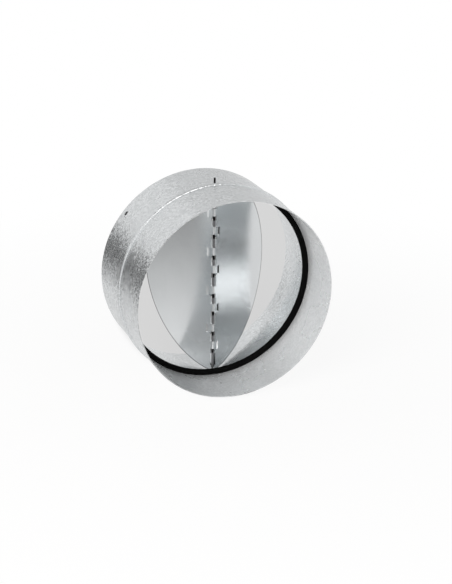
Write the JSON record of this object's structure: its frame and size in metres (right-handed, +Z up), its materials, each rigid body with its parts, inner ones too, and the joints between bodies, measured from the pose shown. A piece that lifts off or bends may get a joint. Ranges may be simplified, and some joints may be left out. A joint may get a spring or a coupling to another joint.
{
  "type": "duct backdraft damper",
  "caption": "Round sheet-metal duct sleeve with a rubber seal ring and two spring-closed half-round blades on an upright hinge rod, which let air pass one way only.",
  "frame": {"origin": "centre of the front rim's plane, on the duct's axis", "axes": "+Y along the duct's axis from the front rim into the casing, the way the air flows; +X to the right seen from the front; +Z up, along the hinge rod"},
  "size_m": [0.1616, 0.12, 0.1672],
  "materials": {
    "galvanised_sheet": "galvanised, fine speckle",
    "seal_rubber": "matt black",
    "rod_steel": "plain drawn, black collars",
    "rivet_steel": "dark oxide",
    "blade_sheet": "bright rolled",
    "spring_steel": "drawn wire"
  },
  "bodies": {
    "casing": {"casing": "galvanised_sheet", "rivet": "rivet_steel", "seal_ring": "seal_rubber", "hinge_rod": "rod_steel", "closing_spring": "spring_steel"},
    "left_blade": {"left_blade": "blade_sheet"},
    "right_blade": {"right_blade": "blade_sheet"}
  },
  "joints": [
    {"name": "left_blade_hinge", "type": "hinge", "parent": "casing", "child": "left_blade", "pos_m": [0, 0.0487, 0], "axis": [0, 0, -1], "range_deg": [-66.7, 20], "stiffness_Nm_per_rad": 0.002, "springref_deg": -126.62, "deforming": ["closing_spring"]},
    {"name": "right_blade_hinge", "type": "hinge", "parent": "casing", "child": "right_blade", "pos_m": [0, 0.0487, 0], "axis": [0, 0, 1], "range_deg": [-38.9, 47.8], "stiffness_Nm_per_rad": 0.002, "springref_deg": -99.12, "deforming": ["closing_spring"]}
  ]
}
